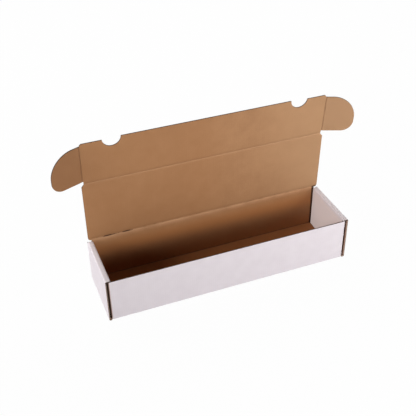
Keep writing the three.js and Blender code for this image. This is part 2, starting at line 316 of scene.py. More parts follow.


# %% [markdown]
# The white liner is a coated paper, smooth and matt, with a slightly pinkish cast. Its
# clouds are very faint, and so are the flutes that show through. Where it goes round a
# square fold the coat is stretched and cracks in short lines, and a darker line runs
# along the middle of each corner fold. At the four corners, painted shade in a tan brown
# fills the slits beside the ends, darker at the left end than at the right. The strips
# that roll over the ends have a paler painted highlight on top, and the inner ends a
# browner tint, painted for the light that reaches them from the brown paper around them.

# %% White liner
WHITE_TONES = (0.680, 0.623, 0.653), (0.718, 0.663, 0.693)
WHITE_SHREDS, COAT_CRACKS = (0.44, 0.37, 0.34), (0.50, 0.43, 0.40)
WHITE_PAINTED_HIGHLIGHT, WHITE_PAINTED_BOUNCE = (0.88, 0.81, 0.84), (0.738, 0.652, 0.634)
CORNER_LINE = (0.39, 0.29, 0.23)
SLIT_SHADE_LEFT_AND_RIGHT = (0.40, 0.25, 0.18), (0.50, 0.31, 0.25)


def white_painted_light(paper):
    """A darker line on each corner fold, painted shade in the corner slits, a painted highlight on the rolled
    strips and painted bounce light on the inner ends.
    """
    corners = paper.before(paper.away, corner_high, soft=MM / 2)
    corners = corners * paper.beyond(paper.away, half_width)
    # A darker line along the middle of each corner fold.
    corner_fold_line = paper.line(paper.out, wall_half + FOLD_LENGTH * 0.55, reach=1.1 * MM) * corners
    paper.stain(corner_fold_line, CORNER_LINE, strength=0.45)

    # Painted highlight on the tops of the rolled strips.
    strip_highlight = paper.beyond(paper.out, end_top - MM, soft=3 * MM)
    strip_highlight = strip_highlight * paper.before(paper.out, strip_end - MM, soft=3 * MM)
    paper.stain(strip_highlight, WHITE_PAINTED_HIGHLIGHT)
    # Painted brown bounce light on the inner ends.
    inner_end_bounce = paper.beyond(paper.out, inner_start, soft=4 * MM)
    paper.stain(inner_end_bounce, WHITE_PAINTED_BOUNCE, strength=0.8)

    # Painted shade in the slits at the corners, in a tan brown, darker at the left end.
    slit_shade = paper.between(
        paper.out, wall_half + FOLD_LENGTH * 0.25, wall_half + FOLD_LENGTH * 0.7)
    slit_shade = slit_shade * paper.before(paper.out, corner_end + 12 * MM, soft=13 * MM)
    slit_shade_tone = paper.mix(paper.beyond(paper.x, -MM, soft=2 * MM), *SLIT_SHADE_LEFT_AND_RIGHT)
    paper.stain(slit_shade * corners, slit_shade_tone, strength=0.9)


def coat_cracks(paper):
    """Short cracks in the coat along the three folds of each end."""
    noise = paper.noise(0.22 * MM, (1.0, 0.12, 1.0))
    cracks = sum(paper.line(paper.out, start + FOLD_LENGTH / 2, reach=0.9 * MM)
                 for start in (fold_start_x, end_top, strip_end))
    cracks = cracks * paper.before(paper.away, half_width, soft=MM / 2)
    cracks = cracks * paper.between(noise, 0.58, 0.70)
    paper.stain(cracks, COAT_CRACKS, strength=0.35)
    return cracks


def white_liner():
    paper = Paper("white_liner")
    clouds = paper.noise(18 * MM, detail=3.0)
    fibres = paper.noise(0.5 * MM, (0.35, 1.0, 1.0), detail=3.0)
    shreds = paper.noise(0.7 * MM, (0.3, 1.0, 1.0), detail=1.0)
    tone = clouds * 0.55 + fibres * 0.30 + paper.stripes() * 0.03
    paper.colour = paper.mix(paper.between(tone, 0.25, 0.60), *WHITE_TONES)
    paper.stain(paper.between(shreds, 0.72, 0.82), WHITE_SHREDS, strength=0.16)
    white_painted_light(paper)
    cracks = coat_cracks(paper)
    height = fibres * 0.5 + clouds * 0.4 + paper.stripes() * 0.35 - cracks * 1.2
    roughness = paper.between(clouds, 0.2, 0.8, 0.62, 0.76)
    return paper.complete(height, 0.02 * MM, roughness, specular=0.22)


# %% [markdown]
# The kraft liner is unbleached, with stronger clouds and long dark and pale shreds. On
# the lid and the flap, painted light turns it from a shaded, redder brown at the left to
# a paler, yellower brown with a painted sheen at the right. Each long crease has a painted
# highlight band that ends at a soft line, with painted shade beyond it, and a paler
# painted line lies along the flap's groove. Painted shade lies in broken dashes along the
# lid's crease and round its tears.
#
# In the trough the kraft is painted a deeper, redder brown, for the shade there, where
# light only reaches paper from other brown paper. Above that, painted warm bounce light
# makes the back wall a warm orange brown, and painted shade lies in dark lines in the
# corners of the floor. Painted shade makes the left ear darker than the flap, and a
# painted sheen makes the right one a little greyer. Painted shade makes the gap between
# the back wall and the right inner end nearly black, and the brown side of the outer
# ends too, except near their cut edges, which are painted a paler, lit brown.

# %% Kraft liner
KRAFT_TONES = (0.352, 0.171, 0.075), (0.448, 0.236, 0.111)
DARK_SHREDS, PALE_SHREDS = (0.19, 0.090, 0.040), (0.58, 0.39, 0.24)
LID_PAINTED_SHADE, LID_PAINTED_LIGHT = (0.365, 0.165, 0.064), (0.455, 0.262, 0.135)
KRAFT_PAINTED_HIGHLIGHT, GROOVE_PAINTED_LIGHT = (0.59, 0.325, 0.170), (0.590, 0.360, 0.205)
PRESSED_SHADE, TORN_SHADE = (0.170, 0.075, 0.032), (0.060, 0.018, 0.004)
WALL_PAINTED_BOUNCE, TROUGH_PAINTED_SHADE = (0.500, 0.205, 0.068), (0.290, 0.096, 0.024)
LEFT_EAR_PAINTED_SHADE, RIGHT_EAR_PAINTED_SHEEN = (0.180, 0.075, 0.030), (0.273, 0.164, 0.095)
KRAFT_PAINTED_LIT_CUT = (0.62, 0.42, 0.33)
LID_BEND = lid_line + 1.4 * MM
TORN_PLACES = ((-161 * MM, 12 * MM), (-131 * MM, 10 * MM))
BOUNCE_LINE = rise + 50 * MM


def kraft_pulp(paper):
    """The plain paper, and the three patterns that its relief needs too."""
    clouds = paper.noise(20 * MM, detail=4.0)
    drift = paper.noise(90 * MM, detail=1.0)
    fibres = paper.noise(0.45 * MM, (0.22, 1.0, 1.0), detail=4.0, roughness=0.6)
    each_flute = paper.noise(2.6 * MM, (1.0, 0.02, 0.0), detail=1.0)
    tone = clouds * 0.30 + drift * 0.31 + fibres * 0.34 + each_flute * 0.05
    tone = tone + paper.stripes() * 0.008
    paper.colour = paper.mix(paper.between(tone, 0.30, 0.72), *KRAFT_TONES)
    dark = paper.noise(0.38 * MM, (0.16, 1.0, 1.0), detail=1.0)
    pale = paper.noise(0.50 * MM, (0.20, 1.1, 2.0), detail=1.0)
    paper.stain(paper.between(dark, 0.70, 0.82), DARK_SHREDS, strength=0.35)
    paper.stain(paper.between(pale, 0.72, 0.84), PALE_SHREDS, strength=0.3)
    return clouds, fibres, each_flute


def lid_painted_light(paper):
    """Painted light along the lid and the flap: shade at the left, light and sheen at the right."""
    on_lid = paper.beyond(paper.y, lid_line)
    to_the_left = paper.before(paper.x, -20 * MM, soft=80 * MM)
    to_the_right = paper.between(paper.x, 40 * MM, lid_half)
    # Painted shade at the left of the lid and the flap, and painted light with a sheen at the right.
    paper.stain(to_the_left * on_lid, LID_PAINTED_SHADE, strength=0.5)
    paper.stain(to_the_right * on_lid, LID_PAINTED_LIGHT, strength=0.6)


# Painted highlight: a pale band that rises towards a crease and stops at its line.
def painted_highlight_band(paper, place, reach):
    rising = paper.between(paper.y, place - reach, place - reach / 5)
    return rising * paper.before(paper.y, place, soft=0.9 * MM)


# Painted shade: a band beyond a crease that fades away from it.
def shaded(paper, place, reach):
    fading = paper.between(paper.y, place + reach / 3, place + reach, 1.0, 0.0)
    return fading * paper.beyond(paper.y, place, soft=0.9 * MM)


def crease_painted_light(paper):
    """Painted highlight and painted shade beside the long creases, along the lid's crease and round its tears."""
    band_unevenness = paper.noise(24 * MM, (1.0, 0.3, 1.0), detail=3.0)
    # Painted highlight bands below the lid's and the flap's creases, uneven along them.
    pale = painted_highlight_band(paper, LID_BEND, 10 * MM) * 0.60 + painted_highlight_band(paper, flap_line, 5 * MM) * 0.10
    paper.stain(pale * paper.between(band_unevenness, 0.30, 0.65, 0.35, 1.0), KRAFT_PAINTED_HIGHLIGHT)
    # Painted shade beyond the same creases.
    shade = shaded(paper, LID_BEND, 5.5 * MM) * 0.15 + shaded(paper, flap_line, 6 * MM) * 0.14
    paper.stain(shade, PRESSED_SHADE)
    # A paler painted line along the flap's groove, painted light over the groove's own dark line.
    groove_light = paper.line(paper.y, flap_line, reach=1.3 * MM)
    paper.stain(groove_light, GROOVE_PAINTED_LIGHT, strength=0.18)
    # Painted shade in broken dashes along the lid's crease.
    crease_shade_dashes = paper.between(paper.noise(7 * MM, (1.0, 0.1, 1.0)), 0.50, 0.62)
    crease_shade_dashes = crease_shade_dashes * paper.line(paper.y, LID_BEND + 0.4 * MM, reach=0.8 * MM)
    paper.stain(crease_shade_dashes, DEEP_SHADE, strength=0.35)
    # Painted shade round the tears in the lid's crease.
    tear_shade = sum(paper.line(paper.x, place, reach) for place, reach in TORN_PLACES)
    tear_shade = tear_shade * paper.line(paper.y, lid_line + MM, reach=2.4 * MM)
    paper.stain(tear_shade, TORN_SHADE, strength=0.8)


def trough_painted_light(paper):
    """Painted warm bounce light on the back wall, and painted shade in the trough and its corners."""
    # Painted warm bounce light on the back wall.
    warm_bounce = paper.line(paper.y, BOUNCE_LINE, reach=26 * MM)
    paper.stain(warm_bounce, WALL_PAINTED_BOUNCE, strength=0.8)
    # Painted shade, deeper and redder, low in the trough.
    trough_depth_shade = paper.between(paper.away, rise + 5 * MM, BOUNCE_LINE, 1.0, 0.0)
    trough_depth_shade = trough_depth_shade * paper.between(paper.away, 0.0, half_width / 2, 0.8, 1.0)
    paper.stain(trough_depth_shade, TROUGH_PAINTED_SHADE, strength=0.75)
    # Painted shade in the corners of the floor, at the inner ends and along the long walls' folds.
    corners = paper.line(paper.out, inner_end_inner, reach=1.4 * MM)
    corners = corners * paper.before(paper.away, fold_start_y)
    corners = corners + paper.line(paper.away, fold_start_y + FOLD_LENGTH * 0.6, reach=2.2 * MM)
    paper.stain(corners, DEEP_SHADE, strength=0.8)


def ear_painted_light(paper):
    """Painted shade and sheen on the ears, and the pressed lines between them and the flap, with painted shade."""
    ears = paper.beyond(paper.y, flap_line)
    left_ear, right_ear = paper.before(paper.x, -ear_axis), paper.beyond(paper.x, ear_axis - MM)
    # Painted shade on the left ear, and a painted grey sheen on the right one.
    paper.stain(left_ear * ears, LEFT_EAR_PAINTED_SHADE, strength=0.28)
    paper.stain(right_ear * ears, RIGHT_EAR_PAINTED_SHEEN, strength=0.35)
    # A pressed line at each ear's crease: a groove in the relief, and painted shade in the colour.
    pressed = paper.line(paper.out, ear_axis - 0.2 * MM, reach=1.4 * MM) * ears
    paper.stain(pressed, PRESSED_SHADE, strength=0.55)
    return pressed


def painted_gap_shade(paper):
    """Painted shade in the gap at the right inner end and on the brown side of the outer ends."""
    # Painted shade in the gap between the back wall and the right inner end.
    gap_shade = paper.beyond(paper.x, inner_end_inner - 3.0 * MM, soft=1.6 * MM)
    gap_shade = gap_shade * paper.beyond(paper.y, rise) * paper.before(paper.y, LID_BEND)
    paper.stain(gap_shade, DEEP_SHADE, strength=0.9)
    # Painted shade on the brown side of the outer ends, with a paler painted lit brown near their cut edges.
    lit_at_the_cut = paper.beyond(paper.away, half_width - 5 * MM, soft=3 * MM)
    outer_end_shade = paper.beyond(paper.out, dust_flap_outer - MM)
    outer_end_shade = outer_end_shade * paper.before(paper.away, half_width)
    paper.stain(outer_end_shade, paper.mix(lit_at_the_cut * 0.85, DEEP_SHADE, KRAFT_PAINTED_LIT_CUT))


def kraft_liner():
    paper = Paper("kraft_liner")
    clouds, fibres, each_flute = kraft_pulp(paper)
    lid_painted_light(paper)
    crease_painted_light(paper)
    trough_painted_light(paper)
    pressed = ear_painted_light(paper)
    painted_gap_shade(paper)
    height = fibres * 0.7 + each_flute * 0.25 + clouds * 0.3 + paper.stripes() * 0.2
    roughness = paper.between(fibres, 0.2, 0.8, 0.58, 0.72)
    return paper.complete(height - pressed * 1.5, 0.05 * MM, roughness, specular=0.30)


# %% [markdown]
# The fluting is thin, rough paper from waste pulp, and it is only seen deep in the cuts.
# Where a knife has cut through the papers, short fibres stand out, and the edge looks
# dusty. The cut edge of the white liner stays paler than the two brown papers'. Painted
# shade darkens the cuts of the walls, the lid, the flap, the ears and the rolled ends,
# where the open flutes lie in shade.

# %% Fluting and cut edges
def rough_paper(name, dark, pale, grain, cut_shade):
    paper = Paper(name)
    fibres = paper.noise(grain, (0.4, 1.0, 1.0), detail=4.0)
    clouds = paper.noise(6 * MM, detail=3.0)
    paper.colour = paper.mix(paper.between(fibres * 0.6 + clouds * 0.4, 0.3, 0.7), dark, pale)
    # Painted shade on the cuts of the walls, the lid, the flap, the ears and the rolled ends.
    shaded_cuts = paper.maths("MAXIMUM", paper.beyond(paper.away, half_width + 2 * MM),
                          paper.beyond(paper.out, end_top - MM))
    paper.stain(shaded_cuts, DEEP_SHADE, strength=cut_shade)
    return paper.complete(fibres, 0.05 * MM, roughness=0.95, specular=0.2)


FLUTING_TONES = (0.390, 0.245, 0.175), (0.530, 0.365, 0.280)
WHITE_CUT_TONES = (0.46, 0.38, 0.34), (0.64, 0.56, 0.53)
BROWN_CUT_TONES = (0.440, 0.300, 0.205), (0.660, 0.510, 0.410)
WHITE, KRAFT, FLUTING, WHITE_EDGE, BROWN_EDGE = range(5)
papers = [
    white_liner(),
    kraft_liner(),
    rough_paper("fluting", *FLUTING_TONES, grain=0.40 * MM, cut_shade=0.9),
    rough_paper("white_liner_edge", *WHITE_CUT_TONES, grain=0.25 * MM, cut_shade=0.5),
    rough_paper("brown_edge", *BROWN_CUT_TONES, grain=0.25 * MM, cut_shade=0.85),
]

# %% [markdown]
# ## Working by hand, in code
# A few small helpers stand for what a hand does in the window: take one piece, go into
# edit mode and pick points by their place, and apply a modifier.

# %% Helpers for the operators
HAIR = 0.001 * MM


def only(piece):
    bpy.ops.object.select_all(action="DESELECT")
    piece.select_set(True)
    bpy.context.view_layer.objects.active = piece


def settle(piece):
    only(piece)
    bpy.ops.object.transform_apply(location=True, rotation=True, scale=True)


@contextmanager
def editing(piece):
    only(piece)
    bpy.ops.object.mode_set(mode="EDIT")
    yield
    bpy.ops.object.mode_set(mode="OBJECT")


def made_with(add, location, scale=(1, 1, 1), **settings):
    """A new piece from one of the operators that add a mesh."""
    add(location=location, **settings)
    piece = bpy.context.object
    piece.scale = scale
    settle(piece)
    return piece


def rectangle(add, x0, x1, y0, y1, level, height=1):
    middle = ((x0 + x1) / 2, (y0 + y1) / 2, level)
    return made_with(add, middle, (x1 - x0, y1 - y0, height), size=1)


def pick(piece, chosen):
    points = bmesh.from_edit_mesh(piece.data)
    for vertex in points.verts:
        vertex.select_set(chosen(vertex))
    points.select_flush_mode()
    bmesh.update_edit_mesh(piece.data)


def finish_with(piece, kind, **settings):
    only(piece)
    modifier = piece.modifiers.new(kind.lower(), kind)
    for name, value in settings.items():
        setattr(modifier, name, value)
    bpy.ops.object.modifier_apply(modifier=modifier.name)


# %% [markdown]
# ## One flute
# Fine corrugated board has a flute about every 3.3 mm. One wave of the fluting is
# modelled once: a strip of paper, whose columns of points are raised and lowered along
# a wave. Copies of it side by side make the core of every panel, so the waves run on
# from one panel to the next, as they do in one sheet.

# %% Model one wave of the fluting
PAPER = 0.2 * MM
CORE_CLEARANCE = 0.01 * MM
COLUMNS = 8
column_step = FLUTE_PITCH / COLUMNS
core_wave = MIDDLE - PAPER - PAPER / 2 - CORE_CLEARANCE

flute = made_with(
    bpy.ops.mesh.primitive_grid_add, (FLUTE_PITCH / 2, 0.5, MIDDLE), (FLUTE_PITCH, 1, 1),
    x_subdivisions=COLUMNS, y_subdivisions=1, size=1)
flute.name = "one_flute"
with editing(flute):
    for column in range(COLUMNS + 1):
        pick(flute, lambda v: abs(v.co.x - column * column_step) < column_step / 4)
        lift = core_wave * math.cos(2 * math.pi * column / COLUMNS)
        bpy.ops.transform.translate(value=(0, 0, -lift))
print("one flute:", len(flute.data.vertices), "points, wave", round(core_wave / MM, 2), "mm")

# %% [markdown]
# ## Board, cut flat
# `board` makes a flat rectangle of board on the table, white side down. The core is an
# Array of flutes, trimmed to the rectangle with bisect, between two plain sheets of
# liner. The places where it will be folded get a few cuts across, so that it has points
# to bend at. `slices` are slanted knife cuts, each a point and the direction of the
# waste, `openings` are rectangles that are cut out, and `tears` are rectangles that are
# open only down to the white liner. Solidify then gives all three papers their thickness.

# %% Cuts with a straight knife
KNIFE_TOLERANCE = 1e-7


def cut(place, direction, **settings):
    bpy.ops.mesh.bisect(
        plane_co=place, plane_no=direction, threshold=KNIFE_TOLERANCE, **settings)


def cut_across(place, direction):
    bpy.ops.mesh.select_all(action="SELECT")
    cut(place, direction)


def slice_off(place, waste):
    bpy.ops.mesh.select_all(action="SELECT")
    cut(place, waste, clear_outer=True)


def pick_faces(piece, chosen):
    bpy.ops.mesh.select_all(action="DESELECT")
    faces = bmesh.from_edit_mesh(piece.data).faces
    found = [face for face in faces if chosen(face)]
    for face in found:
        face.select_set(True)
    bmesh.update_edit_mesh(piece.data)
    return len(found)


def cut_out(piece, x0, x1, y0, y1, above=-1.0):
    def touches(face):
        xs = [v.co.x for v in face.verts]
        ys = [v.co.y for v in face.verts]
        overlaps = max(xs) > x0 and min(xs) < x1 and max(ys) > y0 and min(ys) < y1
        return overlaps and face.verts[0].co.z > above

    def inside(face):
        middle = face.calc_center_median()
        return x0 < middle.x < x1 and y0 < middle.y < y1 and middle.z > above

    edges = [((x, 0, 0), right) for x in (x0, x1)] + [((0, y, 0), back) for y in (y0, y1)]
    for place, direction in edges:
        if pick_faces(piece, touches):
            cut(place, direction)
    if pick_faces(piece, inside):
        bpy.ops.mesh.delete(type="FACE")


# %% Make a rectangle of board
def fluted_core(x0, x1, y0, y1):
    core = flute.copy()
    core.data = flute.data.copy()
    bpy.context.scene.collection.objects.link(core)
    first, last = math.floor(x0 / FLUTE_PITCH), math.ceil(x1 / FLUTE_PITCH)
    core.location = (first * FLUTE_PITCH, y0, 0)
    core.scale = (1, y1 - y0, 1)
    settle(core)
    finish_with(core, "ARRAY", count=last - first, use_relative_offset=False,
                use_constant_offset=True, constant_offset_displace=(FLUTE_PITCH, 0, 0),
                use_merge_vertices=True, merge_threshold=PAPER / 20)
    with editing(core):
        slice_off((x0, 0, 0), (-1, 0, 0))
        slice_off((x1, 0, 0), (1, 0, 0))
    return core


def board(name, x0, x1, y0, y1, lines_x=(), lines_y=(), slices=(), openings=(),
          tears=()):
    liners = [rectangle(bpy.ops.mesh.primitive_plane_add, x0, x1, y0, y1, level)
              for level in (PAPER / 2, BOARD - PAPER / 2)]
    piece = fluted_core(x0, x1, y0, y1)
    piece.name = piece.data.name = name
    only(piece)
    for liner in liners:
        liner.select_set(True)
    bpy.ops.object.join()
    with editing(piece):
        for x in (x for x in lines_x if x0 < x < x1):
            cut_across((x, 0, 0), right)
        for y in (y for y in lines_y if y0 < y < y1):
            cut_across((0, y, 0), back)
        for place, waste in slices:
            slice_off(place, waste)
        for opening in openings:
            cut_out(piece, *opening)
        for tear in tears:
            cut_out(piece, *tear, above=PAPER)
    finish_with(piece, "SOLIDIFY", thickness=PAPER, offset=0, use_even_offset=True)
    return piece


# %% [markdown]
# Round outlines are cut with a die, which is a block that is taken away from the board,
# or that keeps only what lies inside it.

# %% Cut with a die
DIE_HEIGHT = 4 * BOARD


def block(x0, x1, y0, y1):
    return rectangle(bpy.ops.mesh.primitive_cube_add, x0, x1, y0, y1, MIDDLE, DIE_HEIGHT)


def round_block(x, y, radius):
    return made_with(bpy.ops.mesh.primitive_cylinder_add, (x, y, MIDDLE),
                     vertices=64, radius=radius, depth=DIE_HEIGHT)


def round_corner(die, x, y, radius, segments=24):
    with editing(die):
        pick(die, lambda v: math.hypot(v.co.x - x, v.co.y - y) < BOARD / 8)
        bpy.ops.mesh.bevel(offset=radius, offset_type="OFFSET", segments=segments, affect="EDGES")


def die_cut(piece, die, keep_inside=False):
    operation = "INTERSECT" if keep_inside else "DIFFERENCE"
    finish_with(piece, "BOOLEAN", object=die, operation=operation, solver="EXACT")
    bpy.data.objects.remove(die)


# %% [markdown]
# ## Which paper is where
# While a piece still lies flat on the table, its papers are easy to tell apart: the
# lowest faces are the white liner's outside, the highest ones the kraft liner's, upright
# faces are cut edges, and all the rest is hidden paper inside. So the materials are given
# out by each face's place and normal, and at the same time each point's place is kept as
# `flat`, for the papers' patterns and for the folds.

# %% Give out the papers and keep the flat place
UPRIGHT = 0.5


def finish_flat(piece):
    for material in papers:
        piece.data.materials.append(material)
    for face in piece.data.polygons:
        if abs(face.normal.z) < UPRIGHT:
            face.material_index = WHITE_EDGE if face.center.z < PAPER else BROWN_EDGE
        elif face.center.z < PAPER / 10:
            face.material_index = WHITE
        elif face.center.z > BOARD - PAPER / 10:
            face.material_index = KRAFT
        else:
            face.material_index = FLUTING
    flat = piece.data.attributes.new("flat", "FLOAT_VECTOR", "POINT")
    flat.data.foreach_set("vector", [a for point in piece.data.vertices for a in point.co])


# %% [markdown]
# ## Folding
# A crease is a straight line on the flat sheet. A fold turns everything beyond the line
# up, towards the brown side. A tight fold is shared out over a few lines close together,
# which makes it round: its middle runs on a radius of 1.2 mm. The outermost creases are
# folded first, so that a line still lies flat on the table when its turn comes.

# %% Creases
FOLD_STEPS = 6


class Crease:
    """The lines that a fold turns on, parallel to X or Y, to one side of the middle."""

    def __init__(self, parallel, side, angle, lines, ends=()):
        self.parallel = parallel
        self.side = side
        self.angle = angle
        self.lines = list(lines)
        self.ends = list(ends)
        self.coordinate = 1 if parallel == "X" else 0

    def centre(self, place, level):
        return (0, place, level) if self.parallel == "X" else (place, 0, level)


def tight_fold(parallel, start, side):
    """A square fold that begins at start and lies on that side of the sheet's middle."""
    share = FOLD_LENGTH / FOLD_STEPS
    lines = [side * (start + (step + 0.5) * share) for step in range(FOLD_STEPS)]
    ends = [side * start, side * (start + FOLD_LENGTH)]
    return Crease(parallel, side, math.pi / 2, lines, ends)


def open_crease(parallel, place, side, angle):
    return Crease(parallel, side, angle, [side * place])


def fold_lines(*creases):
    return sorted({place for crease in creases for place in crease.lines + crease.ends})


# %% Fold
TURN_BACK = -1


def pick_beside(crease, piece, chosen):
    """Picks points by their place on the flat sheet, measured across the crease."""
    flat = bmesh.from_edit_mesh(piece.data).verts.layers.float_vector["flat"]
    pick(piece, lambda v: chosen(v[flat][crease.coordinate]))


def turn(crease, place, angle):
    """Turns the picked points about a line at that place."""
    upwards = crease.side if crease.parallel == "X" else -crease.side
    bpy.ops.transform.rotate(value=TURN_BACK * upwards * angle, orient_axis=crease.parallel,
                             center_override=crease.centre(place, MIDDLE))


def fold(piece, *creases):
    with editing(piece):
        for crease in creases:
            side, share = crease.side, crease.angle / len(crease.lines)
            for line in reversed(crease.lines):
                pick_beside(crease, piece, lambda at: side * at > side * line + HAIR)
                turn(crease, line, share)


# %% [markdown]
# These are all the creases: two at the floor's long sides, the corners, the lid, the
# flap, the ears, and three at each end, where the wall starts, where it rolls over and
# where it turns down again. `put_up` is the last step for a panel that has been cut: it
# gets its papers, it is folded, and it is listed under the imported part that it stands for.

# %% List the creases
BOTH_WAYS = (-1, 1)
ENDS = {"left": -1, "right": 1}
front_fold = tight_fold("X", fold_start_y, -1)
back_fold = tight_fold("X", fold_start_y, 1)
lid_crease = open_crease("X", lid_line, 1, lid_lean)
flap_crease = open_crease("X", flap_line, 1, flap_lean)
to_the_lid = (lid_crease, back_fold)
to_the_flap = (flap_crease, *to_the_lid)
ear_creases = {side: open_crease("Y", ear_axis, side, ear_turn) for side in BOTH_WAYS}
corner_folds, end_folds, roll_folds, tuck_folds = (
    {side: tight_fold("Y", start, side) for side in BOTH_WAYS}
    for start in (wall_half, fold_start_x, end_top, strip_end))
pieces = {}


def on_side(side, near_end, far_end):
    """A stretch given by two distances from the sheet's middle, as low and high."""
    return sorted((side * near_end, side * far_end))


def put_up(node, piece, *creases):
    finish_flat(piece)
    fold(piece, *creases)
    pieces[node] = piece


# %% [markdown]
# ## The floor
# The floor is the middle of the blank. Beside each end wall it is cut back where the
# dust flaps stand, and four slots take the tabs of the inner end walls.

# %% Cut the floor
PLAY = 0.3 * MM
TAB_WIDTH = 24 * MM
TAB_TAPER = 1.5 * MM
TAB_CLEARANCE = 0.1 * MM
tab_end = inner_foot + BOARD - TAB_CLEARANCE
TABS = [-inner_half_width / 2, inner_half_width / 2]
relief_x = dust_flap_outer + PLAY
slot_half = TAB_WIDTH / 2 + PLAY
openings = []
for end, tab in zip(BOTH_WAYS, TABS):
    openings.append((-relief_x, relief_x, *on_side(end, fold_start_y, half_width + PLAY)))
    for side in BOTH_WAYS:
        relief = on_side(end, fold_start_y - PLAY, half_width + PLAY)
        openings.append((*on_side(side, wall_half, relief_x), *relief))
        slot_x = on_side(side, inner_end_inner - PLAY, inner_end_outer + PLAY)
        openings.append((*slot_x, tab - slot_half, tab + slot_half))
floor_board = board("base_board", -fold_start_x, fold_start_x, -half_width, half_width,
                    openings=openings)
put_up("base_panel", floor_board)
print("floor:", len(floor_board.data.polygons), "faces")

# %% [markdown]
# ## The long walls
# The front wall carries its bottom fold and the two corner folds that lead to its dust
# flaps. The back wall is the same and rises to the lid's crease. The corner folds start
# a little above the floor and end below the roll of the ends.

# %% Cut and fold the front and the back wall
def long_wall(node, side, height, crease):
    far_edge = rise + height
    openings = []
    for end in BOTH_WAYS:
        waste_x = on_side(end, wall_half, corner_end + PLAY)
        openings.append((*waste_x, *on_side(side, fold_start_y - PLAY, corner_low)))
        openings.append((*waste_x, *on_side(side, corner_high, far_edge + PLAY)))
    corners = corner_folds.values()
    wall = board(f"{node}_board", -corner_end, corner_end, *on_side(side, fold_start_y, far_edge),
                 fold_lines(*corners), fold_lines(crease), openings=openings)
    put_up(node, wall, *corners, crease)


long_wall("front_wall", -1, wall_height, front_fold)
long_wall("back_wall", 1, lid_hinge.z - CREASE_REACH, back_fold)
print("walls:", [len(piece.data.polygons) for node, piece in pieces.items() if "wall" in node])

# %% [markdown]
# ## The dust flaps
# Four flaps turn in from the long walls and are trapped inside the double ends. Their
# free corners are well rounded, so that they don't catch.

# %% Cut and fold the dust flaps
DUST_FLAP_CORNER = 9 * MM
dust_flap_end = corner_end + fold_start_y + dust_flap_tip


def dust_flap(name, end, side):
    low, high = on_side(side, corner_low, corner_high)
    flap = board(name, *on_side(end, corner_end, dust_flap_end), low, high)
    die = block(*on_side(end, corner_end - PLAY, dust_flap_end), low, high)
    for y in (low, high):
        round_corner(die, end * dust_flap_end, y, DUST_FLAP_CORNER, segments=12)
    die_cut(flap, die, keep_inside=True)
    return flap


for word, end in ENDS.items():
    for wall, side, crease in (("front", -1, front_fold), ("back", 1, back_fold)):
        flap = dust_flap(f"{wall}_dust_flap_board_{word}", end, side)
        put_up(f"{wall}_dust_flap_{word}", flap, corner_folds[end], crease)

# %% [markdown]
# ## The rolled-over ends
# Each end is a double wall: the board goes up outside, rolls over the top and comes down
# inside, where two tabs lock into the floor. The strip on top is a little narrower at
# the back, and the inner wall at both sides, because they go between the long walls. The
# knife leaves them another 1.8 mm short there, which leaves a narrow gap in each corner.
# In the right-hand corner of the back wall, painted shade on the kraft liner makes that
# gap a dark line.

# %% Cut and fold the ends
EASE = 1.8 * MM
inner_edge = inner_half_width - EASE


def beside_the_tabs(side):
    edges = [-half_width]
    for middle in TABS:
        edges += [middle - TAB_WIDTH / 2, middle + TAB_WIDTH / 2]
    edges.append(half_width)
    waste_x = on_side(side, inner_foot, inner_foot + BOARD + PLAY)
    return [(*waste_x, low, high) for low, high in zip(edges[::2], edges[1::2])]


def taper_the_tabs(part):
    with editing(part):
        for middle in TABS:
            for edge in BOTH_WAYS:
                corner_y = middle + edge * TAB_WIDTH / 2
                pick(part, lambda v: abs(v.co.x) > tab_end - HAIR
                     and abs(v.co.y - corner_y) < MM / 10)
                bpy.ops.transform.translate(value=(0, -edge * TAB_TAPER, 0))


for word, side in ENDS.items():
    rolls = (tuck_folds[side], roll_folds[side], end_folds[side])
    outer_wall = board(f"outer_end_board_{word}", *on_side(side, fold_start_x, end_top),
                       -half_width, half_width, fold_lines(end_folds[side]))
    put_up(f"outer_end_wall_{word}", outer_wall, end_folds[side])
    strip = board(f"rolled_board_{word}", *on_side(side, end_top, inner_start),
                  -half_width, inner_edge, fold_lines(*rolls))
    put_up(f"rolled_strip_{word}", strip, *rolls)
    inner_wall = board(f"inner_end_board_{word}", *on_side(side, inner_start, tab_end),
                       -inner_edge, inner_edge, openings=beside_the_tabs(side))
    taper_the_tabs(inner_wall)
    put_up(f"inner_end_wall_{word}", inner_wall, *rolls)

# %% [markdown]
# ## The lid
# The lid is a plain panel with two round heels at the hinge, which hang down beside the
# crease nearly to the rolled ends, and with slanted reliefs at the front corners, which
# let the flap's ears swing. The strips where it is creased are left out here and made on
# their own below.

# %% Cut the lid
HEEL_DROP = 0.9 * MM
LID_RELIEF = 4.4 * MM
lid_foot, lid_end = lid_line - HEEL_DROP, flap_line - crease_edge
relief_from = Vector((lid_half, lid_end - LID_RELIEF, 0))
along = Vector((flap_foot_half, lid_end, 0)) - relief_from
reliefs = [((side * relief_from.x, relief_from.y, 0), (side * along.y, -along.x, 0))
           for side in BOTH_WAYS]
creased = [(-wall_half, wall_half, lid_foot - PLAY, lid_line + CREASE_REACH),
           (-flap_foot_half, flap_foot_half, flap_line - CREASE_REACH, flap_line)]
lid_board = board("lid_board", -lid_half, lid_half, lid_foot, lid_end,
                  slices=reliefs, openings=creased)
outline = block(-lid_half, lid_half, lid_foot, flap_line + BOARD)
for side in BOTH_WAYS:
    round_corner(outline, side * lid_half, lid_foot, lid_half - wall_half, segments=16)
die_cut(lid_board, outline, keep_inside=True)
put_up("lid_panel", lid_board, *to_the_lid)

# %% [markdown]
# ## The front flap
# The flap has a half-round thumb notch near each end and chamfered corners. Its sides
# step in at the ears' creases. Beyond the notches its free edge lies 1.4 mm lower.

